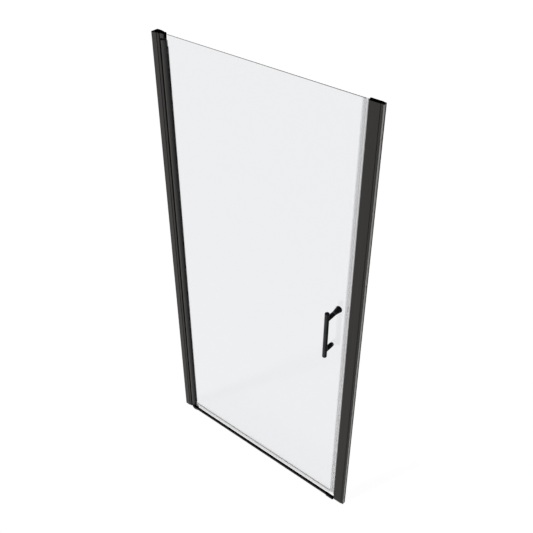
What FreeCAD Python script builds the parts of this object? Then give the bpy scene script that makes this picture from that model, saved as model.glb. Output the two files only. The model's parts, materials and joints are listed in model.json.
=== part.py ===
import FreeCAD, Part
import math
import os

# A framed pivot shower door that closes the opening between two walls.
# X runs along the opening, from the hinge wall to the strike wall. Y runs from the room into the shower.
# Z runs up. The origin is on the hinge wall, on the glass line, at the level of the shower tray.
# All sizes are in millimetres.

# Opening that the door closes
opening_width = 1004.0
frame_height = 2000.0

# Clearances
slide_gap = 0.3
fit_gap = 0.1
press_gap = 0.02
running_gap = 0.05
thrust_gap = 0.1
wiper_gap = 0.4
magnet_gap = 0.5
seal_pass_gap = 0.8

# Rounding of profile edges and thickness of the top caps
edge_radius = 0.6
cap_thickness = 2.5
cap_leg_length = 14.0

# Channel on the hinge wall
channel_depth = 32.5
channel_reach = 25.5
channel_wall = 1.4

# Post that slides in the hinge channel, hollowed at its end to take the round stile
hinge_post_depth = 28.0
post_wall = 1.8
post_projection = 11.7
post_tail = 12.0
pivot_offset = 11.7
fin_thickness = 2.0
seat_gap = 1.5
wiper_width = 4.0
wiper_inset = 0.5

# Round stile of the door leaf, and its pins, bushes and end plugs
stile_diameter = 26.0
stile_wall = 3.0
stile_web = 1.2
pin_diameter = 8.0
pin_grip = 20.0
pin_end_wall = 2.5
bush_wall = 1.5
bush_flange_diameter = 17.0
plug_diameter = 15.0
plug_depth = 24.0

# Pivot blocks
upper_block_height = 17.3
upper_block_gap = 6.4
barrel_diameter = 22.0
neck_depth = 20.6
tongue_depth = 19.0
tongue_length = 7.5
lower_block_height = 12.5
lower_block_gap = 3.0
lower_block_reach = 36.0
lower_block_bulge_place = 10.0

# Threshold bar between the lower pivot block and the strike end block
threshold_front = 15.4
threshold_depth = 9.5
threshold_height = 12.4
threshold_wall = 1.5
threshold_radius = 1.5
block_proud = 3.2
block_radius = 3.0
strike_block_length = 40.0
spigot_length = 15.0

# Glass leaf
glass_thickness = 6.0
glass_insert = 10.0
glass_bottom = 24.0
glass_top_drop = 1.5
glass_notch_room = 5.0
glass_arris = 0.5
gasket_wall = 1.6
gasket_bead = 4.6

# Strike post, strike channel and the magnets
strike_post_depth = 21.0
strike_face_width = 42.1
strike_lean = 7.0
strike_nose_wall = 5.0
strike_web_place = 12.0
strike_reveal = 10.9
strike_channel_reach = 34.0
magnet_width = 8.0
magnet_thickness = 3.0
magnet_recess = 0.2

# Clear seals on the glass
seal_wall = 1.2
strike_seal_grip = 11.0
strike_seal_body = 15.5
strike_seal_skin = 0.8
bottom_seal_grip = 12.0
bottom_seal_drip = 8.0

# Handle
handle_diameter = 19.0
handle_length = 229.0
handle_end_radius = 5.0
handle_spacing = 160.0
handle_height = 1011.0
handle_inset = 61.4
handle_standoff = 43.6
knob_diameter = 30.0
knob_length = 35.0
knob_neck = 4.0
knob_blend_radius = 11.0
knob_end_radius = 2.5
knob_crown = 0.8
stud_diameter = 6.0
stud_grip = 14.0
bar_stud_diameter = 5.0
bar_stud_grip = 10.0
bar_stud_depth = 5.0
washer_thickness = 1.0
glass_hole_diameter = 12.0
button_diameter = 15.0
button_thickness = 2.0

# Holes for the wall screws
wall_hole_diameter = 5.5
wall_hole_count = 4
wall_hole_end = 120.0

# Screws that lock the posts in their channels, the pivot blocks and the stile plugs
lock_screw_diameter = 4.0
lock_screw_length = 9.0
lock_head_diameter = 8.0
lock_head_height = 2.4
lock_screw_count = 3
lock_screw_end = 250.0
strike_lock_place = 24.0
cover_wall = 1.0
small_screw_diameter = 3.5
block_screw_length = 9.5
plug_screw_length = 6.0
small_head_diameter = 7.0
socket_width = 2.5
socket_depth = 1.2

# Two points of an outline closer than this are one point
same_point = 1e-6

# Places that follow from the sizes
V = FreeCAD.Vector
UP = V(0, 0, 1)
INWARD = V(0, 1, 0)
ALONG = V(1, 0, 0)

half_channel = channel_depth / 2
half_hinge_post = hinge_post_depth / 2
half_strike_post = strike_post_depth / 2
half_glass = glass_thickness / 2
stile_radius = stile_diameter / 2
pin_radius = pin_diameter / 2
handle_radius = handle_diameter / 2
profile_top = frame_height - cap_thickness

seat_radius = stile_radius + seat_gap
post_tip_x = channel_reach + post_projection
pivot_x = post_tip_x + pivot_offset
half_seat = math.sqrt(seat_radius ** 2 - pivot_offset ** 2)
post_back_x = channel_reach - post_tail
tongue_x = pivot_x - seat_radius - tongue_length

stile_top = frame_height - upper_block_height - upper_block_gap
stile_bottom = lower_block_height + lower_block_gap
upper_block_bottom = frame_height - upper_block_height

glass_left = pivot_x + stile_radius - glass_insert
slot_x = glass_left - gasket_wall
half_slot = half_glass + gasket_wall
glass_top = frame_height - glass_top_drop
plug_radius = plug_diameter / 2
bore_radius = plug_radius + fit_gap
bush_radius = pin_radius + running_gap + bush_wall

strike_end_x = opening_width - strike_reveal
strike_front_x = strike_end_x - strike_face_width
strike_angle = math.atan2(strike_lean, strike_post_depth)
glass_right = strike_front_x - strike_seal_body
half_strike_channel = half_strike_post - post_wall - slide_gap
strike_channel_x = opening_width - strike_channel_reach

threshold_back = threshold_front - threshold_depth
block_front = threshold_front + block_proud
lower_block_end_x = pivot_x + lower_block_reach
strike_block_x = strike_front_x + edge_radius - strike_block_length
bottom_seal_low = lower_block_height + seal_pass_gap

handle_x = glass_right - handle_inset
handle_y = -half_glass - handle_standoff
upper_post_z = handle_height + handle_spacing / 2
lower_post_z = handle_height - handle_spacing / 2


# Helpers
def spread(count, end_distance, length):
    """Evenly spaced places along a length, the first and last at a distance from its ends."""
    step = (length - 2 * end_distance) / (count - 1)
    return [end_distance + i * step for i in range(count)]


def in_plan(u, v):
    """A point of a section seen from above."""
    return V(u, v, 0)


def in_side(u, v):
    """A point of a section seen along the opening: depth, then height."""
    return V(0, u, v)


def in_turning(u, v):
    """A point of a turned section: radius, then distance along the axis."""
    return V(u, 0, v)


def outline(corners, place=in_plan):
    """A flat face whose corners are (u, v) or, where rounded, (u, v, radius)."""
    starts, ends, arcs = [], [], []
    count = len(corners)
    for i, corner in enumerate(corners):
        here = V(corner[0], corner[1], 0)
        radius = corner[2] if len(corner) > 2 else 0.0
        if radius <= 0:
            starts.append(here)
            ends.append(here)
            arcs.append(None)
            continue
        before = V(*corners[i - 1][:2], 0).sub(here).normalize()
        after = V(*corners[(i + 1) % count][:2], 0).sub(here).normalize()
        half_angle = before.getAngle(after) / 2
        reach = radius / math.tan(half_angle)
        middle = before.add(after).normalize()
        bulge = radius / math.sin(half_angle) - radius
        starts.append(here + before * reach)
        ends.append(here + after * reach)
        arcs.append(here + middle * bulge)
    edges = []
    for i in range(count):
        if arcs[i] is not None:
            points = [place(p.x, p.y) for p in (starts[i], arcs[i], ends[i])]
            edges.append(Part.Arc(*points).toShape())
        line = [ends[i], starts[(i + 1) % count]]
        if line[0].distanceToPoint(line[1]) > same_point:
            edges.append(Part.makeLine(*[place(p.x, p.y) for p in line]))
    return Part.Face(Part.Wire(edges))


def upright(corners, low, high):
    """A profile standing between two heights."""
    shape = outline(corners).extrude(UP * (high - low))
    shape.translate(UP * low)
    return shape


def lengthwise(corners, start, end):
    """A profile lying along the opening between two places."""
    shape = outline(corners, in_side).extrude(ALONG * (end - start))
    shape.translate(ALONG * start)
    return shape


def turned(corners, base, direction):
    """A turned piece whose section is (radius, distance) and whose axis starts at base."""
    shape = outline(corners, in_turning).revolve(V(), UP, 360)
    shape.Placement = FreeCAD.Placement(base, FreeCAD.Rotation(UP, direction))
    return shape


def rod(base, direction, radius, length):
    """A round bar from base along a direction."""
    return Part.makeCylinder(radius, length, base, direction)


def block(x0, x1, y0, y1, z0, z1):
    """A box between six planes."""
    return Part.makeBox(x1 - x0, y1 - y0, z1 - z0, V(x0, y0, z0))


def rectangle(x0, x1, y0, y1, radius=0.0):
    """The corners of a rectangle, rounded alike."""
    return [(x0, y0, radius), (x1, y0, radius), (x1, y1, radius), (x0, y1, radius)]


def at_pivot(radius, low, high):
    """A round bar on the pivot axis between two heights."""
    return rod(V(pivot_x, 0, low), UP, radius, high - low)


def pan_screw(base, direction):
    """A screw with a domed head that stands on base, its shank running against the direction."""
    shank = lock_screw_diameter / 2
    head = lock_head_diameter / 2
    corners = [(0, -lock_screw_length), (shank, -lock_screw_length), (shank, 0), (head, 0)]
    corners += [(head, lock_head_height, lock_head_height / 2), (0, lock_head_height)]
    return turned(corners, base, direction)


def sunk_screw(base, direction, length):
    """A countersunk screw with a hexagon socket, its head flush with base."""
    shank = small_screw_diameter / 2
    head = small_head_diameter / 2
    cone = head - shank
    corners = [(0, -length), (shank, -length), (shank, -cone), (head, 0), (0, 0)]
    screw = turned(corners, base, direction)
    corner = socket_width / math.sqrt(3)
    hexagon = [(corner * math.cos(k * math.pi / 3), corner * math.sin(k * math.pi / 3)) for k in range(6)]
    socket = outline(hexagon).extrude(UP * socket_depth)
    socket.translate(UP * -socket_depth)
    socket.Placement = FreeCAD.Placement(base, FreeCAD.Rotation(UP, direction)).multiply(socket.Placement)
    return screw.cut(socket)


def sunk_hole(base, direction, length):
    """The hole that a countersunk screw fills, with its fit and a straight entry above its head."""
    shank = small_screw_diameter / 2 + press_gap
    head = small_head_diameter / 2 + press_gap
    cone = head - shank
    depth = length + press_gap
    corners = [(0, -depth), (shank, -depth), (shank, -cone), (head, 0), (head, cone), (0, cone)]
    return turned(corners, base, direction)


def screw_cover(base, direction):
    """A domed cap that hides a lock screw's head."""
    inner = lock_head_diameter / 2 + fit_gap
    outer = inner + cover_wall
    recess = lock_head_height + fit_gap
    top = recess + cover_wall
    corners = [(0, recess), (inner, recess), (inner, 0), (outer, 0), (outer, top, cover_wall), (0, top)]
    return turned(corners, base, direction)


def group(shapes):
    """Separate solids that share one node."""
    return Part.makeCompound(shapes)


def holed(shape, cutters):
    """A solid with several cuts."""
    return shape.cut(Part.makeCompound(cutters))


wall_hole_heights = spread(wall_hole_count, wall_hole_end, profile_top)
lock_heights = spread(lock_screw_count, lock_screw_end, profile_top)
hinge_lock_x = (post_back_x + post_wall + channel_reach - channel_wall - slide_gap - fin_thickness) / 2
strike_lock_x = strike_channel_x + strike_lock_place


# Hinge side of the frame
def make_hinge_wall_channel():
    lip_y = half_hinge_post + slide_gap
    inner_y = half_channel - channel_wall
    inner_x = channel_reach - channel_wall
    body = upright(rectangle(0, channel_reach, -half_channel, half_channel, edge_radius), 0, profile_top)
    cavity = block(channel_wall, inner_x, -inner_y, inner_y, 0, profile_top)
    mouth = block(inner_x, channel_reach, -lip_y, lip_y, 0, profile_top)
    wall_holes = [rod(V(0, 0, z), ALONG, wall_hole_diameter / 2, channel_wall) for z in wall_hole_heights]
    lock_radius = lock_screw_diameter / 2 + fit_gap
    lock_holes = [rod(V(hinge_lock_x, inner_y, z), INWARD, lock_radius, channel_wall) for z in lock_heights]
    return holed(body, [cavity, mouth] + wall_holes + lock_holes)


def hinge_post_corners():
    """The plan corners of the post before the stile's seat is cut into its end."""
    return rectangle(post_back_x, post_tip_x, -half_hinge_post, half_hinge_post, edge_radius)


def make_hinge_post():
    fin_x = channel_reach - channel_wall - slide_gap
    fin_y = half_channel - channel_wall - slide_gap
    hollow_x = pivot_x - seat_radius - post_wall
    hollow_y = half_hinge_post - post_wall
    fit_y = tongue_depth / 2 + fit_gap
    body = upright(hinge_post_corners(), 0, profile_top)
    fins = block(fin_x - fin_thickness, fin_x, -fin_y, fin_y, 0, profile_top)
    hollow = block(post_back_x + post_wall, hollow_x, -hollow_y, hollow_y, 0, profile_top)
    seat = at_pivot(seat_radius, 0, profile_top)
    upper_notch = block(tongue_x, pivot_x, -fit_y, fit_y, upper_block_bottom - fit_gap, profile_top)
    lower_notch = block(tongue_x, pivot_x, -fit_y, fit_y, 0, lower_block_height + fit_gap)
    lock_radius = lock_screw_diameter / 2 + press_gap
    lock_holes = [rod(V(hinge_lock_x, hollow_y, z), INWARD, lock_radius, post_wall) for z in lock_heights]
    block_holes = [sunk_hole(place, INWARD, block_screw_length) for place in block_screw_places()]
    return holed(body.fuse(fins), [hollow, seat, upper_notch, lower_notch] + lock_holes + block_holes)


def make_hinge_post_screws():
    return group([pan_screw(V(hinge_lock_x, half_channel, z), INWARD) for z in lock_heights])


def make_hinge_screw_covers():
    return group([screw_cover(V(hinge_lock_x, half_channel, z), INWARD) for z in lock_heights])


def make_hinge_top_cap():
    hollow_y = half_hinge_post - post_wall - fit_gap
    leg_x = post_back_x + post_wall + fit_gap
    plate = upright(rectangle(0, channel_reach, -half_channel, half_channel, edge_radius),
                    profile_top, frame_height)
    nose = upright(hinge_post_corners(), profile_top, frame_height)
    leg = block(leg_x, tongue_x - fit_gap, -hollow_y, hollow_y, profile_top - cap_leg_length, profile_top)
    seat = at_pivot(seat_radius, profile_top, frame_height)
    return plate.fuse([nose, leg]).cut(seat)


def make_hinge_wiper_strips():
    inner = stile_radius + wiper_gap
    outer = seat_radius - press_gap
    outer_y = half_seat - wiper_inset
    ring = at_pivot(outer, stile_bottom, stile_top).cut(at_pivot(inner, stile_bottom, stile_top))
    strips = []
    for side in (-1, 1):
        edges = sorted((side * (outer_y - wiper_width), side * outer_y))
        strips.append(ring.common(block(0, pivot_x, *edges, stile_bottom, stile_top)))
    return group(strips)


# Pivot blocks and pins
def block_screw_places():
    screw_x = tongue_x + tongue_length / 2
    lower_z = lower_block_height / 2
    upper_z = (upper_block_bottom + profile_top) / 2
    return [V(screw_x, half_hinge_post, lower_z), V(screw_x, half_hinge_post, upper_z)]


def tongue(low, high):
    """The part of a pivot block that slides into the hollow of the hinge post."""
    half = tongue_depth / 2
    return block(tongue_x, pivot_x, -half, half, low, high)


def make_upper_pivot_block():
    half_neck = neck_depth / 2
    nest = at_pivot(seat_radius - fit_gap, upper_block_bottom, frame_height)
    neck = block(0, pivot_x, -half_neck, half_neck, upper_block_bottom, frame_height).common(nest)
    barrel = at_pivot(barrel_diameter / 2, upper_block_bottom, frame_height)
    body = barrel.fuse([neck, tongue(upper_block_bottom, profile_top)])
    pin_hole = at_pivot(pin_radius + press_gap, upper_block_bottom, frame_height - pin_end_wall)
    screw_hole = sunk_hole(block_screw_places()[1], INWARD, block_screw_length)
    return holed(body, [pin_hole, screw_hole]).removeSplitter()


def make_lower_pivot_block():
    end_x = lower_block_end_x
    nest_radius = seat_radius - fit_gap
    nest_x = pivot_x - math.sqrt(nest_radius ** 2 - half_seat ** 2)
    front = Part.Arc(V(nest_x, -half_seat, 0), V(pivot_x + lower_block_bulge_place, -block_front, 0),
                     V(end_x, -threshold_front, 0)).toShape()
    corners = [V(end_x, -threshold_front, 0), V(end_x, -threshold_back, 0),
               V(pivot_x + seat_radius, half_seat, 0), V(nest_x, half_seat, 0)]
    nest = Part.Arc(corners[-1], V(pivot_x - nest_radius, 0, 0), V(nest_x, -half_seat, 0)).toShape()
    sides = [Part.makeLine(a, b) for a, b in zip(corners, corners[1:])]
    body = Part.Face(Part.Wire([front] + sides + [nest])).extrude(UP * lower_block_height)
    body = body.fuse([tongue(0, lower_block_height), spigot(end_x, end_x + spigot_length)])
    pin_hole = at_pivot(pin_radius + press_gap, pin_end_wall, lower_block_height)
    screw_hole = sunk_hole(block_screw_places()[0], INWARD, block_screw_length)
    return holed(body, [pin_hole, screw_hole]).removeSplitter()


def make_pivot_block_screws():
    return group([sunk_screw(place, INWARD, block_screw_length) for place in block_screw_places()])


def make_upper_pivot_pin():
    return at_pivot(pin_radius, stile_top - pin_grip, frame_height - pin_end_wall)


def make_lower_pivot_pin():
    return at_pivot(pin_radius, pin_end_wall, stile_bottom + pin_grip)


# Threshold
def threshold_hollow(gap):
    """The corners of the bar's hollow, drawn in by a gap."""
    inset = threshold_wall + gap
    return rectangle(-threshold_front + inset, -threshold_back - inset, inset, threshold_height - inset)


def spigot(start, end):
    """The tenon of an end block that fits in the hollow of the bar."""
    return lengthwise(threshold_hollow(fit_gap), start, end)


def make_threshold_bar():
    section = [(-threshold_front, 0), (-threshold_back, 0),
               (-threshold_back, threshold_height, threshold_radius),
               (-threshold_front, threshold_height, threshold_radius)]
    bar = lengthwise(section, lower_block_end_x, strike_block_x)
    return bar.cut(lengthwise(threshold_hollow(0), lower_block_end_x, strike_block_x))


def make_strike_end_block():
    outer_x = strike_front_x + edge_radius
    face_x = strike_front_x - fit_gap
    rise = (half_strike_post - threshold_back) * math.tan(strike_angle)
    corners = [(strike_block_x, -block_front, block_radius), (outer_x, -block_front, block_radius),
               (outer_x, -half_strike_post - fit_gap), (face_x, -half_strike_post - fit_gap),
               (face_x - rise, -threshold_back), (strike_block_x, -threshold_back)]
    body = upright(corners, 0, lower_block_height)
    return body.fuse(spigot(strike_block_x - spigot_length, strike_block_x)).removeSplitter()


# Strike side of the frame
def on_strike_face(along, depth):
    """A plan point of the leaning strike face: along it from its middle, and in from it."""
    middle_x = strike_front_x - strike_lean / 2
    x = middle_x - along * math.sin(strike_angle) + depth * math.cos(strike_angle)
    y = along * math.cos(strike_angle) + depth * math.sin(strike_angle)
    return (x, y)


def strike_band(half_width, outer, inner):
    """The corners of a strip that lies along the strike face between two depths."""
    return [on_strike_face(-half_width, outer), on_strike_face(-half_width, inner),
            on_strike_face(half_width, inner), on_strike_face(half_width, outer)]


def strike_outline():
    back_x = strike_front_x - strike_lean
    half = half_strike_post
    return [(strike_front_x, -half, edge_radius), (strike_end_x, -half, edge_radius),
            (strike_end_x, half, edge_radius), (back_x, half, edge_radius)]


def strike_hollows():
    """The plan corners of the closed chamber behind the strike face and of the open mouth beside it."""
    inner_y = half_strike_post - post_wall
    web_x = strike_front_x + strike_web_place
    slope = math.tan(strike_angle)
    nose_x = strike_front_x - strike_lean / 2 + strike_nose_wall / math.cos(strike_angle)
    chamber = [(nose_x + inner_y * slope, -inner_y), (web_x, -inner_y), (web_x, inner_y),
               (nose_x - inner_y * slope, inner_y)]
    mouth = rectangle(web_x + post_wall, strike_end_x, -inner_y, inner_y)
    return chamber, mouth


def make_strike_post():
    chamber, mouth = strike_hollows()
    cuts = [upright(corners, 0, profile_top) for corners in (chamber, mouth)]
    half_groove = magnet_width / 2 + fit_gap
    groove_depth = magnet_thickness + magnet_recess
    groove = upright(strike_band(half_groove, -edge_radius, groove_depth), 0, profile_top)
    lock_radius = lock_screw_diameter / 2 + fit_gap
    hole_y = half_strike_post - post_wall
    lock_holes = [rod(V(strike_lock_x, hole_y, z), INWARD, lock_radius, post_wall) for z in lock_heights]
    return holed(upright(strike_outline(), 0, profile_top), cuts + [groove] + lock_holes)


def make_strike_wall_channel():
    inner_y = half_strike_channel - channel_wall
    web_x = opening_width - channel_wall
    body = upright(rectangle(strike_channel_x, opening_width, -half_strike_channel, half_strike_channel,
                             edge_radius), 0, profile_top)
    mouth = block(strike_channel_x, web_x, -inner_y, inner_y, 0, profile_top)
    hole_radius = wall_hole_diameter / 2
    wall_holes = [rod(V(web_x, 0, z), ALONG, hole_radius, channel_wall) for z in wall_hole_heights]
    lock_radius = lock_screw_diameter / 2 + press_gap
    lock_starts = [V(strike_lock_x, inner_y, z) for z in lock_heights]
    lock_holes = [rod(start, INWARD, lock_radius, channel_wall) for start in lock_starts]
    return holed(body, [mouth] + wall_holes + lock_holes)


def make_strike_post_screws():
    return group([pan_screw(V(strike_lock_x, half_strike_post, z), INWARD) for z in lock_heights])


def make_strike_screw_covers():
    return group([screw_cover(V(strike_lock_x, half_strike_post, z), INWARD) for z in lock_heights])


def make_strike_top_cap():
    chamber, _ = strike_hollows()
    inner_y = half_strike_post - post_wall - fit_gap
    web_x = strike_front_x + strike_web_place - fit_gap
    plate = upright(strike_outline(), profile_top, frame_height)
    lap = upright(rectangle(strike_channel_x, opening_width, -half_strike_channel, half_strike_channel,
                            edge_radius), profile_top, frame_height)
    leg = block(strike_front_x, web_x, -inner_y, inner_y, profile_top - cap_leg_length, profile_top)
    room = upright(chamber, profile_top - cap_leg_length, profile_top)
    return plate.fuse([lap, leg.common(room)])


def make_strike_magnet():
    band = strike_band(magnet_width / 2, magnet_recess, magnet_recess + magnet_thickness)
    return upright(band, 0, profile_top)


# Door leaf: stile, plugs, bushes and gasket
def plug_screw_places():
    """Where the heads of the plug screws sit, sunk until their rims lie in the round face of the stile."""
    heights = (stile_bottom + plug_depth / 2, stile_top - plug_depth / 2)
    rim_y = math.sqrt(stile_radius ** 2 - (small_head_diameter / 2) ** 2) - fit_gap
    return [V(pivot_x, rim_y, z) for z in heights]


def make_pivot_stile():
    body = at_pivot(stile_radius, stile_bottom, stile_top)
    slot_end_x = pivot_x + stile_radius + gasket_bead
    slot = block(slot_x, slot_end_x, -half_slot, half_slot, stile_bottom, stile_top)
    web_x = slot_x - stile_web
    beside_web = block(0, web_x, -stile_radius, stile_radius, stile_bottom, stile_top)
    hollow = at_pivot(stile_radius - stile_wall, stile_bottom, stile_top).common(beside_web)
    lower_bore = at_pivot(bore_radius, stile_bottom, stile_bottom + plug_depth + fit_gap)
    upper_bore = at_pivot(bore_radius, stile_top - plug_depth - fit_gap, stile_top)
    screw_holes = [sunk_hole(place, INWARD, plug_screw_length) for place in plug_screw_places()]
    return holed(body, [slot, hollow, lower_bore, upper_bore] + screw_holes)


def make_plug(low, high, screw_place):
    """A moulded plug that carries a bush in an end of the stile."""
    body = at_pivot(plug_radius, low, high)
    bush_hole = at_pivot(bush_radius + press_gap, low, high)
    return holed(body, [bush_hole, sunk_hole(screw_place, INWARD, plug_screw_length)])


def make_stile_lower_plug():
    return make_plug(stile_bottom, stile_bottom + plug_depth, plug_screw_places()[0])


def make_stile_upper_plug():
    return make_plug(stile_top - plug_depth, stile_top, plug_screw_places()[1])


def make_stile_plug_screws():
    return group([sunk_screw(place, INWARD, plug_screw_length) for place in plug_screw_places()])


def make_lower_pivot_bush():
    flange_low = lower_block_height + thrust_gap
    flange = at_pivot(bush_flange_diameter / 2, flange_low, stile_bottom)
    sleeve = at_pivot(bush_radius, stile_bottom, stile_bottom + pin_grip)
    bore = at_pivot(pin_radius + running_gap, flange_low, stile_bottom + pin_grip)
    return flange.fuse(sleeve).cut(bore)


def make_upper_pivot_bush():
    flange_high = upper_block_bottom - slide_gap
    flange = at_pivot(bush_flange_diameter / 2, stile_top, flange_high)
    sleeve = at_pivot(bush_radius, stile_top - pin_grip, stile_top)
    bore = at_pivot(pin_radius + running_gap, stile_top - pin_grip, flange_high)
    return flange.fuse(sleeve).cut(bore)


def make_glazing_gasket():
    low = stile_bottom + plug_depth + fit_gap
    high = stile_top - plug_depth - fit_gap
    edge_x = pivot_x + stile_radius
    bead_x = edge_x + gasket_bead
    body = block(slot_x, bead_x, -half_slot, half_slot, low, high)
    return body.cut(block(glass_left, bead_x, -half_glass, half_glass, low, high))


# Door leaf: glass and seals
def make_door_glass():
    notch_x = pivot_x + stile_radius + glass_notch_room
    plug_x = pivot_x + bore_radius + fit_gap
    plug_low = stile_bottom + plug_depth + fit_gap
    plug_high = stile_top - plug_depth - fit_gap
    corners = [(plug_x, glass_bottom), (glass_right, glass_bottom), (glass_right, glass_top),
               (notch_x, glass_top), (notch_x, stile_top), (plug_x, stile_top), (plug_x, plug_high),
               (glass_left, plug_high), (glass_left, plug_low), (plug_x, plug_low)]
    points = [V(x, -half_glass, z) for x, z in corners]
    sheet = Part.Face(Part.makePolygon(points + points[:1])).extrude(INWARD * glass_thickness)
    rims = [e for e in sheet.Edges if abs(e.CenterOfMass.y) > half_glass - fit_gap]
    sheet = sheet.makeChamfer(glass_arris, rims)
    radius = glass_hole_diameter / 2
    centres = [V(handle_x, -half_glass, z) for z in (upper_post_z, lower_post_z)]
    return holed(sheet, [rod(centre, INWARD, radius, glass_thickness) for centre in centres])


def seal_face_x(y):
    """Where the leaning outer face of the strike seal lies at a depth."""
    middle_x = strike_front_x - strike_lean / 2 - magnet_gap / math.cos(strike_angle)
    return middle_x - y * math.tan(strike_angle)


def make_strike_seal():
    outer_y = half_glass + seal_wall
    grip_x = glass_right - strike_seal_grip
    web_x = glass_right + seal_wall
    body = upright([(grip_x, -outer_y), (seal_face_x(-outer_y), -outer_y), (seal_face_x(outer_y), outer_y),
                    (grip_x, outer_y)], glass_bottom, glass_top)
    grip = block(grip_x, glass_right, -half_glass, half_glass, glass_bottom, glass_top)
    pocket = upright(door_magnet_band(fit_gap), glass_bottom, glass_top)
    pocket_depth = (2 * strike_seal_skin + magnet_thickness + 2 * fit_gap) / math.cos(strike_angle)
    front_x, back_x = [seal_face_x(y) - pocket_depth for y in (-half_glass, half_glass)]
    chamber = upright([(web_x, -half_glass), (front_x, -half_glass),
                       (back_x, half_glass), (web_x, half_glass)], glass_bottom, glass_top)
    return holed(body, [grip, pocket, chamber])


def door_magnet_band(gap):
    """The corners of the magnet in the strike seal, let out by a gap."""
    half = half_glass * math.cos(strike_angle) + gap
    outer = -magnet_gap - strike_seal_skin + gap
    return strike_band(half, outer, outer - magnet_thickness - 2 * gap)


def make_door_magnet():
    return upright(door_magnet_band(0), glass_bottom, glass_top)


def make_bottom_seal():
    outer_y = half_glass + seal_wall
    web_z = glass_bottom - seal_wall
    top_z = glass_bottom + bottom_seal_grip
    end_x = glass_right - strike_seal_grip
    start_x = pivot_x + stile_radius + glass_notch_room
    drip_y = outer_y + bottom_seal_drip
    clip = [(-outer_y, bottom_seal_low), (-half_glass, bottom_seal_low), (-half_glass, web_z),
            (half_glass, web_z), (drip_y - seal_wall, bottom_seal_low), (drip_y, bottom_seal_low),
            (outer_y, glass_bottom), (outer_y, top_z), (half_glass, top_z), (half_glass, glass_bottom),
            (-half_glass, glass_bottom), (-half_glass, top_z), (-outer_y, top_z)]
    return lengthwise(clip, start_x, end_x)


# Handle
def saddle():
    """The room that the round bar takes out of the end of a handle post."""
    low = handle_height - handle_length / 2
    return rod(V(handle_x, handle_y, low), UP, handle_radius + press_gap, handle_length)


def make_handle_bar():
    low = handle_height - handle_length / 2
    bar = rod(V(handle_x, handle_y, low), UP, handle_radius, handle_length)
    ends = [e for e in bar.Edges if isinstance(e.Curve, Part.Circle)]
    bar = bar.makeFillet(handle_end_radius, ends)
    holes = [rod(V(handle_x, handle_y - bar_stud_depth, z), INWARD, bar_stud_diameter / 2 + press_gap,
                 handle_radius + bar_stud_depth) for z in (upper_post_z, lower_post_z)]
    return holed(bar, holes)


def make_handle_post(z):
    """A post from the bar to the washer on the glass, bored for its two studs."""
    end_y = -half_glass - washer_thickness
    body = rod(V(handle_x, handle_y, z), INWARD, handle_radius, end_y - handle_y)
    bar_bore = rod(V(handle_x, handle_y, z), INWARD, bar_stud_diameter / 2 + press_gap,
                   handle_radius + bar_stud_grip)
    stud_bore = rod(V(handle_x, end_y - stud_grip, z), INWARD, stud_diameter / 2 + press_gap, stud_grip)
    return holed(body, [saddle(), bar_bore, stud_bore])


def make_handle_upper_post():
    return make_handle_post(upper_post_z)


def make_handle_lower_post():
    return make_handle_post(lower_post_z)


def make_handle_bar_studs():
    length = bar_stud_depth + handle_radius + bar_stud_grip
    start_y = handle_y - bar_stud_depth
    return group([rod(V(handle_x, start_y, z), INWARD, bar_stud_diameter / 2, length)
                  for z in (lower_post_z, upper_post_z)])


def make_inner_knob():
    small = handle_radius
    large = knob_diameter / 2
    rim = knob_length - knob_crown
    base = V(handle_x, half_glass + washer_thickness, upper_post_z)
    corners = [(0, 0), (small, 0), (small, knob_neck, knob_blend_radius), (large, rim, knob_end_radius),
               (0, knob_length)]
    bore = rod(base, INWARD, stud_diameter / 2 + press_gap, stud_grip)
    return turned(corners, base, INWARD).cut(bore)


def make_upper_handle_stud():
    start_y = -half_glass - washer_thickness - stud_grip
    return rod(V(handle_x, start_y, upper_post_z), INWARD, stud_diameter / 2, -2 * start_y)


def make_lower_handle_screw():
    shank = stud_diameter / 2
    head = button_diameter / 2
    length = glass_thickness + 2 * washer_thickness + stud_grip
    base = V(handle_x, half_glass + washer_thickness, lower_post_z)
    corners = [(0, -length), (shank, -length), (shank, 0), (head, 0),
               (head, button_thickness, button_thickness / 2), (0, button_thickness)]
    return turned(corners, base, INWARD)


def washer(z, y):
    """A clear washer between the handle and the glass."""
    disc = rod(V(handle_x, y, z), INWARD, handle_radius, washer_thickness)
    return disc.cut(rod(V(handle_x, y, z), INWARD, stud_diameter / 2 + fit_gap, washer_thickness))


def make_handle_washers():
    sides = (-half_glass - washer_thickness, half_glass)
    return group([washer(z, y) for z in (lower_post_z, upper_post_z) for y in sides])


def make_handle_sleeves():
    sleeves = []
    for z in (lower_post_z, upper_post_z):
        start = V(handle_x, -half_glass, z)
        tube = rod(start, INWARD, glass_hole_diameter / 2 - fit_gap, glass_thickness)
        sleeves.append(tube.cut(rod(start, INWARD, stud_diameter / 2 + fit_gap, glass_thickness)))
    return group(sleeves)


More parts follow.
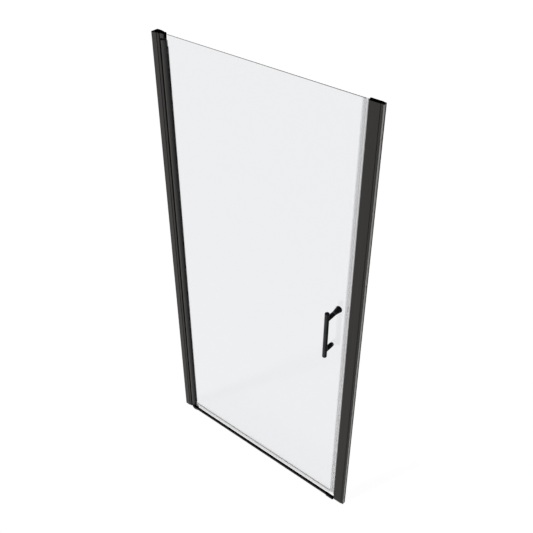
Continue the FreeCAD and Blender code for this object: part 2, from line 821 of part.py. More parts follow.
pieces = {
    "hinge_wall_channel": make_hinge_wall_channel,
    "hinge_post": make_hinge_post,
    "hinge_post_screws": make_hinge_post_screws,
    "hinge_screw_covers": make_hinge_screw_covers,
    "hinge_top_cap": make_hinge_top_cap,
    "hinge_wiper_strips": make_hinge_wiper_strips,
    "upper_pivot_block": make_upper_pivot_block,
    "upper_pivot_pin": make_upper_pivot_pin,
    "lower_pivot_block": make_lower_pivot_block,
    "lower_pivot_pin": make_lower_pivot_pin,
    "pivot_block_screws": make_pivot_block_screws,
    "threshold_bar": make_threshold_bar,
    "strike_end_block": make_strike_end_block,
    "strike_wall_channel": make_strike_wall_channel,
    "strike_post": make_strike_post,
    "strike_post_screws": make_strike_post_screws,
    "strike_screw_covers": make_strike_screw_covers,
    "strike_top_cap": make_strike_top_cap,
    "strike_magnet": make_strike_magnet,
    "pivot_stile": make_pivot_stile,
    "stile_upper_plug": make_stile_upper_plug,
    "stile_lower_plug": make_stile_lower_plug,
    "stile_plug_screws": make_stile_plug_screws,
    "upper_pivot_bush": make_upper_pivot_bush,
    "lower_pivot_bush": make_lower_pivot_bush,
    "glazing_gasket": make_glazing_gasket,
    "door_glass": make_door_glass,
    "strike_seal": make_strike_seal,
    "door_magnet": make_door_magnet,
    "bottom_seal": make_bottom_seal,
    "handle_bar": make_handle_bar,
    "handle_upper_post": make_handle_upper_post,
    "handle_lower_post": make_handle_lower_post,
    "handle_bar_studs": make_handle_bar_studs,
    "inner_knob": make_inner_knob,
    "upper_handle_stud": make_upper_handle_stud,
    "lower_handle_screw": make_lower_handle_screw,
    "handle_washers": make_handle_washers,
    "handle_sleeves": make_handle_sleeves,
}

os.makedirs("parts", exist_ok=True)
for name, make in pieces.items():
    shape = make()
    shape.exportStep(f"parts/{name}.step")
    print(f"{name}: {len(shape.Solids)} solid(s), {shape.Volume / 1000:.2f} cm3, valid {shape.isValid()}")
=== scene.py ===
# %% [markdown]
# # A framed pivot shower door
# The door closes a niche between two walls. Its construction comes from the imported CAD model, in metres:
# X runs along the opening from the hinge wall, Y runs from the room into the shower, and Z runs up.
# This lesson gives that model its looks: a camera and a studio, a finish for every surface, and the soft
# extruded seals, which are worked out as numpy surfaces.

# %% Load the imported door
import json
import math

import bpy
import numpy as np
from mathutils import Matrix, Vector
from mathutils.geometry import tessellate_polygon


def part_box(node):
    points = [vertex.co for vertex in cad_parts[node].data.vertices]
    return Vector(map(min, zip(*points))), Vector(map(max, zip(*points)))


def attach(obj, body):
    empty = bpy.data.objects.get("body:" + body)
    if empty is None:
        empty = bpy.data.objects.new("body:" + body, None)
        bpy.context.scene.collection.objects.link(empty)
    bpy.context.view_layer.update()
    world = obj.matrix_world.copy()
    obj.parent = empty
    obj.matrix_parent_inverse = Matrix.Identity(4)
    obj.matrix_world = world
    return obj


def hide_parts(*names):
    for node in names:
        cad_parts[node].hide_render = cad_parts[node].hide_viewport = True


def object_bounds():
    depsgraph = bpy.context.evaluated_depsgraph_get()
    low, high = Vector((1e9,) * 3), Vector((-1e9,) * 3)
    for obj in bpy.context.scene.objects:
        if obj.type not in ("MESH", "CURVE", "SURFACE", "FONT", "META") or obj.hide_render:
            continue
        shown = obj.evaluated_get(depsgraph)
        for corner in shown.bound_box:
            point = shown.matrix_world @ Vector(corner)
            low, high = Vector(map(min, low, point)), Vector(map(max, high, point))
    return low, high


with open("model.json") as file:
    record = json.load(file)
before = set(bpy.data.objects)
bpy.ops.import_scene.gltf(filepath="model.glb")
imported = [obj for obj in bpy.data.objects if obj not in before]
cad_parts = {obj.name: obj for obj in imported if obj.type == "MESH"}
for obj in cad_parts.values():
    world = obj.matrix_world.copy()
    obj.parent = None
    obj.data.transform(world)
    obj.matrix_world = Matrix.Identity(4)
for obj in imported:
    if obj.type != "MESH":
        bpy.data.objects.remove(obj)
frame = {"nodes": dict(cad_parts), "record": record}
nodes = frame["nodes"]
cad_box = [list(corner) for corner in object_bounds()]
MM = 0.001
scene = bpy.context.scene
print("nodes:", len(nodes), "box in mm:", [[round(c / MM, 1) for c in corner] for corner in cad_box])

# %% [markdown]
# ## The camera
# The photograph looks down on the door from the front right. A product picture like this has a normal
# lens, so the camera gets about 50 mm on a 36 mm sensor. Its place was found by fitting the straight
# edges of the frame. A camera could be aimed with a constraint, but two angles are easier to read:
# azimuth 0 looks along +Y, and elevation is the height above the horizon.

# %% Camera
CAMERA_PLACE = Vector((2.0482, -1.8386, 2.9613))
CAMERA_AZIMUTH = math.radians(39.39)
CAMERA_ELEVATION = math.radians(37.164)
LENS_MM = 50.074
SENSOR_MM = 36.0


def direction_of(azimuth, elevation):
    """The unit vector towards a place seen from the door at an azimuth and an elevation."""
    flat = math.cos(elevation)
    return Vector((math.sin(azimuth) * flat, -math.cos(azimuth) * flat, math.sin(elevation)))


def aimed(name, data, place, look):
    """An object at a place, turned so that its -Z axis looks along a direction."""
    thing = bpy.data.objects.new(name, data)
    thing.location = place
    thing.rotation_mode = "QUATERNION"
    thing.rotation_quaternion = look.to_track_quat("-Z", "Y")
    scene.collection.objects.link(thing)
    return thing


camera_data = bpy.data.cameras.new("camera")
camera_data.lens = LENS_MM
camera_data.sensor_width = SENSOR_MM
backward = direction_of(CAMERA_AZIMUTH, CAMERA_ELEVATION)
scene.camera = aimed("camera", camera_data, CAMERA_PLACE, -backward)
print("camera looks along", [round(c, 3) for c in -backward])

# %% [markdown]
# ## Wiring nodes
# Every finish below is a small net of shader nodes. Nets can be drawn by hand in the shader editor, but
# written out they can be read and repeated. Three helpers keep them short: one adds a node and fills its
# sockets, one does a single sum, and one starts a material with a Principled shader at its output.

# %% Node helpers
def add_node(tree, kind, inputs=None, **settings):
    """Adds a node. Settings are its properties. Inputs fill its sockets, by name or by number:
    an output is linked, and anything else is set as a constant."""
    node = tree.nodes.new("ShaderNode" + kind)
    for name, value in settings.items():
        setattr(node, name, value)
    for socket, value in (inputs or {}).items():
        if isinstance(value, bpy.types.NodeSocket):
            tree.links.new(value, node.inputs[socket])
        else:
            node.inputs[socket].default_value = value
    return node


def calculated(tree, operation, *values):
    """The result of one Math node on these values."""
    return add_node(tree, "Math", dict(enumerate(values)), operation=operation).outputs[0]


def new_finish(name, inputs):
    """A material whose output is one Principled shader with these constants."""
    material = bpy.data.materials.new(name)
    material.use_nodes = True
    tree = material.node_tree
    tree.nodes.clear()
    shader = add_node(tree, "BsdfPrincipled", inputs)
    add_node(tree, "OutputMaterial", {"Surface": shader.outputs[0]})
    return material, tree, shader


print("node helpers ready")

# %% [markdown]
# ## Patterns
# No real surface is one even colour. Grain is noise on the piece's own coordinates, so it stays with the
# piece when the door swings. Raw noise keeps close to one half, so it is drawn out to a useful range. Then
# it can blend two colours, or bend the normals as small bumps do.

# %% Pattern helpers
NOISE_LOW, NOISE_HIGH = 0.3, 0.7
EVEN = (1.0, 1.0, 1.0)
GRAIN_DETAIL = 2.0
MIX_FACTOR, MIX_FIRST, MIX_SECOND, MIXED_COLOUR = 0, 6, 7, 2


def grain(tree, per_metre, stretch=EVEN, detail=GRAIN_DETAIL):
    """Noise from 0 to 1 on the piece's own coordinates, with so many grains to the metre."""
    place = add_node(tree, "TexCoord").outputs["Object"]
    place = add_node(tree, "Mapping", {"Vector": place, "Scale": stretch}).outputs[0]
    return add_node(tree, "TexNoise", {"Vector": place, "Scale": per_metre, "Detail": detail}).outputs[0]


def drawn_out(tree, noise, low, high):
    """Noise spread evenly over the range from low to high."""
    ends = {"Value": noise, "From Min": NOISE_LOW, "From Max": NOISE_HIGH, "To Min": low, "To Max": high}
    return add_node(tree, "MapRange", ends).outputs[0]


def blended(tree, factor, first, second):
    """A colour that goes from the first to the second as factor goes from 0 to 1. A Mix node has sockets
    for numbers, vectors and colours side by side, so the colours are found by their socket numbers."""
    sockets = {MIX_FACTOR: factor, MIX_FIRST: first, MIX_SECOND: second}
    return add_node(tree, "Mix", sockets, data_type="RGBA").outputs[MIXED_COLOUR]


def raised(tree, shader, height, depth, strength):
    """Lets a height pattern of this depth, in metres, bend the shader's normals."""
    bump = add_node(tree, "Bump", {"Height": height, "Distance": depth, "Strength": strength})
    tree.links.new(bump.outputs[0], shader.inputs["Normal"])


print("pattern helpers ready")

# %% [markdown]
# ## Rays that see and rays that gather
# The studio is white to the eye, but it must not flood the black metal with light. Blender can tell the
# rays apart. A ray from the camera sees, also after mirror faces and glass. A ray that left a dull surface
# gathers light. Rays through the glass count as seen only before their first dull bounce.

# %% Ray helper
FIRST_BOUNCE = 1.0


def seen_ray(tree):
    """1 for a ray that comes from the camera, straight or by way of mirror faces and glass, and 0 for a
    ray that gathers light for a dull surface."""
    ray = add_node(tree, "LightPath").outputs
    seen = calculated(tree, "MAXIMUM", ray["Is Camera Ray"], ray["Is Glossy Ray"])
    seen = calculated(tree, "MAXIMUM", seen, ray["Is Transmission Ray"])
    straight = calculated(tree, "LESS_THAN", ray["Diffuse Depth"], FIRST_BOUNCE)
    return calculated(tree, "MULTIPLY", seen, straight)


print("ray helper ready")

# %% [markdown]
# ## The studio
# The photograph has a pure white ground. The fronts of the black profiles are evenly grey, their right
# sides are darker, and every face that looks up is nearly black. So the light comes low from the front
# left, and the ceiling is dark. The world's light is a gradient of height: white at the horizon and dark
# above. What the camera, a mirror face or the glass sees of the world is plain white at any height.

# %% World
HORIZON_END = 0.09
HORIZON_LEVEL = 1.0
CEILING_START = 0.22
CEILING_LEVEL = 0.01
SEEN_WHITE = 1.022
WHITE = (1.0, 1.0, 1.0, 1.0)

scene.view_settings.view_transform = "Standard"
world = bpy.data.worlds.new("studio")
world.use_nodes = True
scene.world = world
tree = world.node_tree
tree.nodes.clear()
toward = add_node(tree, "TexCoord").outputs["Generated"]
height = add_node(tree, "SeparateXYZ", {"Vector": toward}).outputs["Z"]
fade = {"Value": height, "From Min": HORIZON_END, "From Max": CEILING_START,
        "To Min": HORIZON_LEVEL, "To Max": CEILING_LEVEL}
level = add_node(tree, "MapRange", fade, interpolation_type="SMOOTHSTEP").outputs[0]
gathered = add_node(tree, "Background", {"Color": WHITE, "Strength": level})
seen = add_node(tree, "Background", {"Color": WHITE, "Strength": SEEN_WHITE})
sky = add_node(tree, "MixShader", {0: seen_ray(tree), 1: gathered.outputs[0], 2: seen.outputs[0]})
add_node(tree, "OutputWorld", {"Surface": sky.outputs[0]})
print("world: white up to", HORIZON_END, "and dark from", CEILING_START)

# %% [markdown]
# The floor is a large sheet of white paper. Light bounces from it as from paper, but what the camera,
# a mirror face or the glass sees of it is mostly its own white, with a share of real light on top.
# That share holds the shadow of the door, so the ground stays white and the shadow stays faint.

# %% Floor
FLOOR_HALF = 40.0
FLOOR_DROP = 0.4 * MM
PAPER_WHITE = (0.8, 0.8, 0.8, 1.0)
SHADOW_SHARE = (0.45, 0.45, 0.45, 1.0)
OWN_WHITE = 0.94

corners = np.array([(-1, -1), (1, -1), (1, 1), (-1, 1)]) * FLOOR_HALF
floor_mesh = bpy.data.meshes.new("floor")
floor_mesh.from_pydata(np.c_[corners, np.full(len(corners), -FLOOR_DROP)].tolist(), [], [(0, 1, 2, 3)])
floor = bpy.data.objects.new("floor", floor_mesh)
scene.collection.objects.link(floor)

paper_finish = bpy.data.materials.new("paper")
paper_finish.use_nodes = True
tree = paper_finish.node_tree
tree.nodes.clear()
paper = add_node(tree, "BsdfDiffuse", {"Color": PAPER_WHITE})
share = add_node(tree, "BsdfDiffuse", {"Color": SHADOW_SHARE})
own = add_node(tree, "Emission", {"Strength": OWN_WHITE})
lit = add_node(tree, "AddShader", {0: share.outputs[0], 1: own.outputs[0]})
shown = add_node(tree, "MixShader", {0: seen_ray(tree), 1: paper.outputs[0], 2: lit.outputs[0]})
add_node(tree, "OutputMaterial", {"Surface": shown.outputs[0]})
floor_mesh.materials.append(paper_finish)
print("floor:", 2 * FLOOR_HALF, "m wide")

# %% [markdown]
# Two wide soft suns light the door. The key stands low at the front left, where it reaches the front
# faces and leaves the tops dark. A weaker one comes from behind, so that the shower side has shape too.
# Suns light the whole floor evenly, which area lamps would not. They are hidden from mirror rays and from
# rays through the glass, because the sheet would show their discs.

# %% Lamps
def soft_sun(name, azimuth, elevation, spread, strength):
    """A sun as wide as spread, seen from the door at an azimuth and an elevation in degrees."""
    data = bpy.data.lights.new(name, "SUN")
    data.energy = strength
    data.angle = math.radians(spread)
    toward_sun = direction_of(math.radians(azimuth), math.radians(elevation))
    sun = aimed(name, data, toward_sun * FLOOR_HALF, -toward_sun)
    sun.visible_glossy = False
    sun.visible_transmission = False
    return sun


key = soft_sun("key", azimuth=-24.0, elevation=7.0, spread=14.0, strength=2.4)
fill = soft_sun("fill", azimuth=170.0, elevation=8.0, spread=16.0, strength=1.4)
print("lamps:", key.name, fill.name)

# %% [markdown]
# ## Painted highlight and shade on a coat
# A strip of the faces that lie against the walls is painted pale, as a painted highlight. And in the
# photograph the faces that look up, and the sides of the handle and the castings that look to the strike
# wall, are a deeper black than a plain studio gives, so they get painted shade. Both could be painted as
# vertex colours, but the CAD meshes stay as they are, so a mask finds the strip by its place and the faces by
# their normal.

# %% Masks
OPENING_MIDDLE = (cad_box[0][0] + cad_box[1][0]) / 2
WALL_SLACK = 0.3 * MM
WALL_REACH = (cad_box[1][0] - cad_box[0][0]) / 2 - WALL_SLACK
STRIP_MIDDLE = -3.8 * MM
STRIP_HALF = 4.5 * MM


# A painted highlight: this mask picks the pale strip on the faces that lie against the walls.
def painted_highlight_strip(tree):
    """A mask that is 1 on a strip of the two faces that lie against the walls, and 0 elsewhere."""
    place = add_node(tree, "TexCoord").outputs["Object"]
    axes = add_node(tree, "SeparateXYZ", {"Vector": place}).outputs
    offset = calculated(tree, "SUBTRACT", axes["X"], OPENING_MIDDLE)
    on_wall = calculated(tree, "GREATER_THAN", calculated(tree, "ABSOLUTE", offset), WALL_REACH)
    in_strip = calculated(tree, "COMPARE", axes["Y"], STRIP_MIDDLE, STRIP_HALF)
    return calculated(tree, "MULTIPLY", on_wall, in_strip)


# This mask places painted shade by the way a face looks.
def looking(tree, axis, start=0.0, end=1.0):
    """How much a face looks along an axis of the door: 0 up to a start, rising evenly to 1 at an end."""
    normal = add_node(tree, "TexCoord").outputs["Normal"]
    share = add_node(tree, "SeparateXYZ", {"Vector": normal}).outputs[axis]
    ends = {"Value": share, "From Min": start, "From Max": end}
    return add_node(tree, "MapRange", ends).outputs[0]


print("bare strip:", round(2 * STRIP_HALF / MM, 1), "mm wide")

# %% [markdown]
# ## Black coated metal
# The posts, channels, stile and threshold are aluminium extrusions with a satin black coat. Close up
# such a coat has a faint orange peel, dull lines that follow the extrusion, and tiny tone changes. A
# photograph of a coat could be wrapped on, but noise that is stretched along the bar stays sharp at
# any distance.

# %% Coat
ALONG_Z = (1.0, 1.0, 0.01)
ALONG_X = (0.01, 1.0, 1.0)
CLOUDS_PER_METRE = 25.0
CLOUD_DETAIL = 4.0
LINES_PER_METRE = 700.0
DULL_SPREAD = 0.05
PEEL_PER_METRE = 1400.0
PEEL_STRENGTH = 0.4
PROFILE_PEEL, CASTING_PEEL, HANDLE_PEEL = 0.03 * MM, 0.05 * MM, 0.015 * MM
SIDE_START, SIDE_END = 0.60, 0.85


def coated(name, dark, pale, roughness, specular, along=EVEN, peel=PROFILE_PEEL, painted_highlight=None, top=None,
           side=None):
    """A satin coat: two close tones in clouds, dull lines along the bar, and orange peel.
    Where a highlight colour is given, a painted highlight shows in a strip of the faces that lie against the
    walls. Where a top or side colour is given, it is painted shade on the faces that look up or to the strike
    wall."""
    material, tree, shader = new_finish(name, {"Specular IOR Level": specular})
    clouds = drawn_out(tree, grain(tree, CLOUDS_PER_METRE, along, CLOUD_DETAIL), 0.0, 1.0)
    colour = blended(tree, clouds, dark, pale)
    # Painted highlight: a pale strip on the faces that lie against the walls.
    if painted_highlight:
        colour = blended(tree, painted_highlight_strip(tree), colour, painted_highlight)
    # Painted shade: a deeper black on faces that look up or to the strike wall.
    if top:
        colour = blended(tree, looking(tree, "Z"), colour, top)
    if side:
        colour = blended(tree, looking(tree, "X", SIDE_START, SIDE_END), colour, side)
    tree.links.new(colour, shader.inputs["Base Color"])
    lines = grain(tree, LINES_PER_METRE, along)
    dull = drawn_out(tree, lines, roughness - DULL_SPREAD, roughness + DULL_SPREAD)
    tree.links.new(dull, shader.inputs["Roughness"])
    raised(tree, shader, grain(tree, PEEL_PER_METRE), peel, PEEL_STRENGTH)
    return material


print("coat ready, with", CLOUDS_PER_METRE, "clouds to the metre")

# %% [markdown]
# The coats differ by piece. The upright profiles are a warm dark grey. The stile is darker and catches
# more shine, and the threshold is nearly black. The pivot blocks are castings, whose skin is coarser. The
# handle is a cold black with a fine skin. Each could have a net of its own, but they are one process with
# other numbers, so one function makes them all.

# %% Coats
# A pale colour for the painted highlight on the wall strip, and a near black for painted shade.
PAINTED_HIGHLIGHT_PALE = (0.74, 0.73, 0.68, 1.0)
PAINTED_SHADE_BLACK = (0.003, 0.003, 0.003, 1.0)
# The top and side colours below are painted shade, on faces that look up or to the strike wall.
upright_coat = coated("upright_coat", dark=(0.0415, 0.0402, 0.0387, 1.0), pale=(0.0488, 0.0473, 0.0459, 1.0),
                      roughness=0.42, specular=0.03, along=ALONG_Z, painted_highlight=PAINTED_HIGHLIGHT_PALE)
channel_coat = coated("channel_coat", dark=(0.048, 0.0465, 0.045, 1.0), pale=(0.056, 0.0545, 0.053, 1.0),
                      roughness=0.42, specular=0.06, along=ALONG_Z, painted_highlight=PAINTED_HIGHLIGHT_PALE)
stile_coat = coated("stile_coat", dark=(0.036, 0.0347, 0.0338, 1.0), pale=(0.0425, 0.0412, 0.0403, 1.0),
                    roughness=0.42, specular=0.20, along=ALONG_Z, top=PAINTED_SHADE_BLACK)
lying_coat = coated("lying_coat", dark=(0.026, 0.026, 0.026, 1.0), pale=(0.031, 0.031, 0.031, 1.0),
                    roughness=0.42, specular=0.0, along=ALONG_X, top=PAINTED_SHADE_BLACK)
casting_coat = coated("casting_coat", dark=(0.065, 0.064, 0.064, 1.0), pale=(0.075, 0.074, 0.074, 1.0),
                      roughness=0.45, specular=0.0, peel=CASTING_PEEL, top=PAINTED_SHADE_BLACK, side=PAINTED_SHADE_BLACK)
handle_coat = coated("handle_coat", dark=(0.036, 0.036, 0.037, 1.0), pale=(0.044, 0.044, 0.046, 1.0),
                     roughness=0.38, specular=0.06, peel=HANDLE_PEEL, top=PAINTED_SHADE_BLACK, side=PAINTED_SHADE_BLACK)
# The stems get painted shade: a darker copy of the handle coat.
stem_coat = coated("stem_coat", dark=(0.008, 0.008, 0.008, 1.0), pale=(0.011, 0.011, 0.011, 1.0),
                   roughness=0.38, specular=0.04, peel=HANDLE_PEEL, top=PAINTED_SHADE_BLACK)
coats = (upright_coat, channel_coat, stile_coat, lying_coat, casting_coat, handle_coat, stem_coat)
print("coats:", [coat.name for coat in coats])

# %% [markdown]
# ## Black mouldings and nylon
# The end caps and screw covers are injection moulded, in the tone of the profiles. The mould is spark
# eroded, which leaves a fine even texture: Voronoi cells give that better than noise. The nylon plugs and
# bushes share it, and are blacker.

# %% Mouldings
CELLS_PER_METRE = 2200.0
CELL_DEPTH = 0.04 * MM
CELL_STRENGTH = 0.5
MOULD_SPREAD = 0.06


def moulded(name, colour, specular, roughness, top=None):
    """A moulded plastic with the fine cells of a spark eroded mould.
    Where a top colour is given, it is painted shade on the faces that look up."""
    material, tree, shader = new_finish(name, {"Base Color": colour, "Specular IOR Level": specular})
    # Painted shade on the faces that look up.
    if top:
        tree.links.new(blended(tree, looking(tree, "Z"), colour, top), shader.inputs["Base Color"])
    place = add_node(tree, "TexCoord").outputs["Object"]
    cells = add_node(tree, "TexVoronoi", {"Vector": place, "Scale": CELLS_PER_METRE}).outputs["Distance"]
    raised(tree, shader, cells, CELL_DEPTH, CELL_STRENGTH)
    dull = drawn_out(tree, grain(tree, LINES_PER_METRE), roughness - MOULD_SPREAD, roughness + MOULD_SPREAD)
    tree.links.new(dull, shader.inputs["Roughness"])
    return material


# The caps get painted shade on their tops.
cap_plastic = moulded("cap_plastic", (0.045, 0.044, 0.042, 1.0), specular=0.0, roughness=0.5,
                      top=PAINTED_SHADE_BLACK)
nylon = moulded("nylon", (0.006, 0.006, 0.006, 1.0), specular=0.12, roughness=0.55)
print("mouldings:", [plastic.name for plastic in (cap_plastic, nylon)])

# %% [markdown]
# ## Rubber and magnet strips
# The gasket and wipers are black rubber, which is dull and has a slight grey bloom in patches. The magnet
# strips are rubber too, filled with magnet powder: a dark one in the post, and a pale one in the door's
# seal, where it shows through. A bloom could be a painted mask, but coarse noise looks as chancy as it is.

# %% Rubber
RUBBER_SHINE = 0.2
BLOOM_PER_METRE = 60.0
BLOOM_DETAIL = 5.0
SKIN_PER_METRE = 3000.0
SKIN_DEPTH = 0.03 * MM
SKIN_STRENGTH = 0.3


def rubbery(name, colour, bloom, roughness):
    """A soft rubber: dull, with a bloom that lies in patches."""
    material, tree, shader = new_finish(name, {"Roughness": roughness, "Specular IOR Level": RUBBER_SHINE})
    patches = drawn_out(tree, grain(tree, BLOOM_PER_METRE, detail=BLOOM_DETAIL), 0.0, 1.0)
    tree.links.new(blended(tree, patches, colour, bloom), shader.inputs["Base Color"])
    raised(tree, shader, grain(tree, SKIN_PER_METRE), SKIN_DEPTH, SKIN_STRENGTH)
    return material


black_rubber = rubbery("black_rubber", colour=(0.006, 0.006, 0.006, 1.0), bloom=(0.011, 0.011, 0.011, 1.0),
                       roughness=0.75)
pale_magnet = rubbery("pale_magnet", colour=(0.60, 0.60, 0.61, 1.0), bloom=(0.68, 0.68, 0.69, 1.0),
                      roughness=0.6)
dark_magnet = rubbery("dark_magnet", colour=(0.02, 0.018, 0.016, 1.0), bloom=(0.03, 0.027, 0.024, 1.0),
                      roughness=0.6)
print("rubber:", [rubber.name for rubber in (black_rubber, pale_magnet, dark_magnet)])

# %% [markdown]
# ## Steel
# The pins, studs and lock screws are turned steel. The tool leaves fine lines that make the shine uneven.
# True rings would need a centre for each screw, and at this size fine noise does the same, so the
# roughness and a slight bump follow noise with many grains to the metre.

# %% Steel
TURNED_PER_METRE = 2500.0
TURNED_SPREAD = 0.08
TURNED_DEPTH = 0.01 * MM
TURNED_STRENGTH = 0.3


def turned_steel(name, colour, roughness):
    """Bright metal whose roughness varies in fine turned lines."""
    material, tree, shader = new_finish(name, {"Base Color": colour, "Metallic": 1.0})
    lines = grain(tree, TURNED_PER_METRE)
    dull = drawn_out(tree, lines, roughness - TURNED_SPREAD, roughness + TURNED_SPREAD)
    tree.links.new(dull, shader.inputs["Roughness"])
    raised(tree, shader, lines, TURNED_DEPTH, TURNED_STRENGTH)
    return material


steel = turned_steel("steel", (0.55, 0.55, 0.56, 1.0), roughness=0.32)
print("metal:", steel.name)

# %% [markdown]
# ## Glass
# The leaf is 6 mm toughened glass. It lets most light through, is slightly grey, and its top edge looks
# dark, which is painted shade on the edge that looks up. With the true index of glass, light is trapped
# along the sheet and comes out as hard dark lines at the far edge, inside the seal. So the body bends light
# only a little, and a clear coat gives the mirror shine. The edges are coloured by the surface normal, which
# Blender turns towards the ray, so its signs say nothing: the two faces lie along Y, and of the level edges
# the one above the middle is the top.
# Lamps would be blocked by a refracting sheet, so shadow rays pass it as plain tinted air. Toughening
# leaves a faint roller wave, which bends mirror images a little.

# %% Glass colours
FACE_COLOUR = (0.825, 0.832, 0.848, 1.0)
# The top edge colour is painted shade on the edge that looks up.
TOP_EDGE_SHADE = (0.012, 0.0136, 0.0132, 1.0)
OTHER_EDGE_COLOUR = (0.95, 0.96, 0.96, 1.0)
FACE_NORMAL = 0.9
GLASS_MIDDLE = (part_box("door_glass")[0][2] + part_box("door_glass")[1][2]) / 2


def sheet_colour(tree):
    """The colour of the sheet: a tint on its two faces, painted shade on its top edge, which looks up, and a
    clear colour on the others. The size of the normal's Y tells a face, and that of its Z a level edge."""
    coordinates = add_node(tree, "TexCoord").outputs
    height = add_node(tree, "SeparateXYZ", {"Vector": coordinates["Object"]}).outputs["Z"]
    normal = add_node(tree, "SeparateXYZ", {"Vector": coordinates["Normal"]}).outputs
    above = calculated(tree, "GREATER_THAN", height, GLASS_MIDDLE)
    on_top = calculated(tree, "MULTIPLY", above, calculated(tree, "ABSOLUTE", normal["Z"]))
    on_face = calculated(tree, "GREATER_THAN", calculated(tree, "ABSOLUTE", normal["Y"]), FACE_NORMAL)
    edge_colour = blended(tree, on_top, OTHER_EDGE_COLOUR, TOP_EDGE_SHADE)
    return blended(tree, on_face, edge_colour, FACE_COLOUR)


print("glass middle:", round(GLASS_MIDDLE, 4), "m up")

# %% Glass
BODY_INDEX = 1.12
COAT_INDEX = 1.35
LAMP_COLOUR = (0.93, 0.93, 0.93, 1.0)
WAVES_PER_METRE = 1.5
WAVE_DEPTH = 0.2 * MM
WAVE_STRENGTH = 0.2


def sheet_glass(name):
    """Clear sheet glass with painted shade on its top edge and a faint roller wave, which shadow rays pass as
    air.
    """
    clear = {"Roughness": 0.0, "IOR": BODY_INDEX, "Transmission Weight": 1.0, "Coat Weight": 1.0,
             "Coat IOR": COAT_INDEX}
    material, tree, shader = new_finish(name, clear)
    tree.links.new(sheet_colour(tree), shader.inputs["Base Color"])
    raised(tree, shader, grain(tree, WAVES_PER_METRE, detail=0.0), WAVE_DEPTH, WAVE_STRENGTH)
    air = add_node(tree, "BsdfTransparent", {"Color": LAMP_COLOUR})
    shadow = add_node(tree, "LightPath").outputs["Is Shadow Ray"]
    passed = add_node(tree, "MixShader", {0: shadow, 1: shader.outputs[0], 2: air.outputs[0]})
    tree.links.new(passed.outputs[0], tree.get_output_node("ALL").inputs["Surface"])
    return material


glass = sheet_glass("glass")
print("glass:", glass.name)

# %% [markdown]
# ## Clear seals
# The seals on the glass are clear soft PVC, a little milky. Refraction in walls of a millimetre only
# gives noise at this scale, so the finish is a see-through film with a soft shine, and faint lines along
# the extrusion. The opacity says how much of the wall the eye takes in: more on the lying seal's front,
# which is seen at a slant, little on its inner walls, which lie behind others, and most on the lip that
# grips the glass, which is painted dark grey: a painted shade for the dark line that refraction draws there.

# %% Clear plastic
PLASTIC_INDEX = 1.46
PLASTIC_SHINE = 0.3
SMOOTHEST, DULLEST = 0.18, 0.30


def clear_plastic(name, dark, pale, opacity, along):
    """A milky see-through plastic with faint lines along it."""
    shine = {"Alpha": opacity, "IOR": PLASTIC_INDEX, "Specular IOR Level": PLASTIC_SHINE}
    material, tree, shader = new_finish(name, shine)
    lines = grain(tree, LINES_PER_METRE, along)
    tree.links.new(blended(tree, lines, dark, pale), shader.inputs["Base Color"])
    tree.links.new(drawn_out(tree, lines, SMOOTHEST, DULLEST), shader.inputs["Roughness"])
    return material


MILKY = {"dark": (0.50, 0.50, 0.51, 1.0), "pale": (0.58, 0.58, 0.59, 1.0)}
# The lip colours are painted shade for the dark line that refraction draws along a clear edge.
PAINTED_EDGE_SHADE = {"dark": (0.10, 0.10, 0.105, 1.0), "pale": (0.15, 0.15, 0.155, 1.0)}
upright_seal = clear_plastic("upright_seal", **MILKY, opacity=0.22, along=ALONG_Z)
lying_seal = clear_plastic("lying_seal", **MILKY, opacity=0.42, along=ALONG_X)
inner_film = clear_plastic("inner_film", **MILKY, opacity=0.07, along=ALONG_X)
grip_lip = clear_plastic("grip_lip", **PAINTED_EDGE_SHADE, opacity=0.8, along=ALONG_X)
clear_nylon = clear_plastic("clear_nylon", **MILKY, opacity=0.35, along=EVEN)
clear_plastics = (upright_seal, lying_seal, inner_film, grip_lip, clear_nylon)
print("clear plastics:", [plastic.name for plastic in clear_plastics])

# %% [markdown]
# ## Dressing the CAD nodes
# The rigid pieces keep their CAD meshes. Each gets the finish of its material slot, and some differ from
# their slot: the bar that lies and its end block, the stile, which hands rub smoother, the hinge channel,
# which comes out of the coating a shade paler, and the stems of the handle, whose darker coat is painted
# shade.

# %% Dress the nodes
slot_finish = {
    "black_profile": upright_coat, "black_casting": casting_coat, "black_moulding": cap_plastic,
    "black_handle": handle_coat, "black_screw": casting_coat, "plain_steel": steel, "black_nylon": nylon,
    "black_rubber": black_rubber, "magnet_strip": dark_magnet, "pale_magnet": pale_magnet,
    "clear_glass": glass, "clear_seal": upright_seal, "clear_nylon": clear_nylon,
}
node_finish = {
    "threshold_bar": lying_coat, "strike_end_block": lying_coat, "pivot_stile": stile_coat,
    "hinge_wall_channel": channel_coat, "handle_upper_post": stem_coat, "handle_lower_post": stem_coat,
}
for part in frame["record"]["subparts"]:
    node = nodes[part["node"]]
    finish = node_finish.get(part["node"], slot_finish[part["material_slot"]])
    for slot in node.material_slots:
        slot.material = finish

# %% [markdown]
# ## Section outlines
# A seal is one section carried along a straight line, and its section is drawn in millimetres as a list of
# corners, each with its rounding. A Bevel modifier could round the finished piece, but it would take one
# radius for all. So the corners are rounded in the outline, all at once: each turns into an arc between
# the points where its rounding starts and ends.

# %% Outline helpers
ARC_STEPS = 5
PLACE_DECIMALS = 6


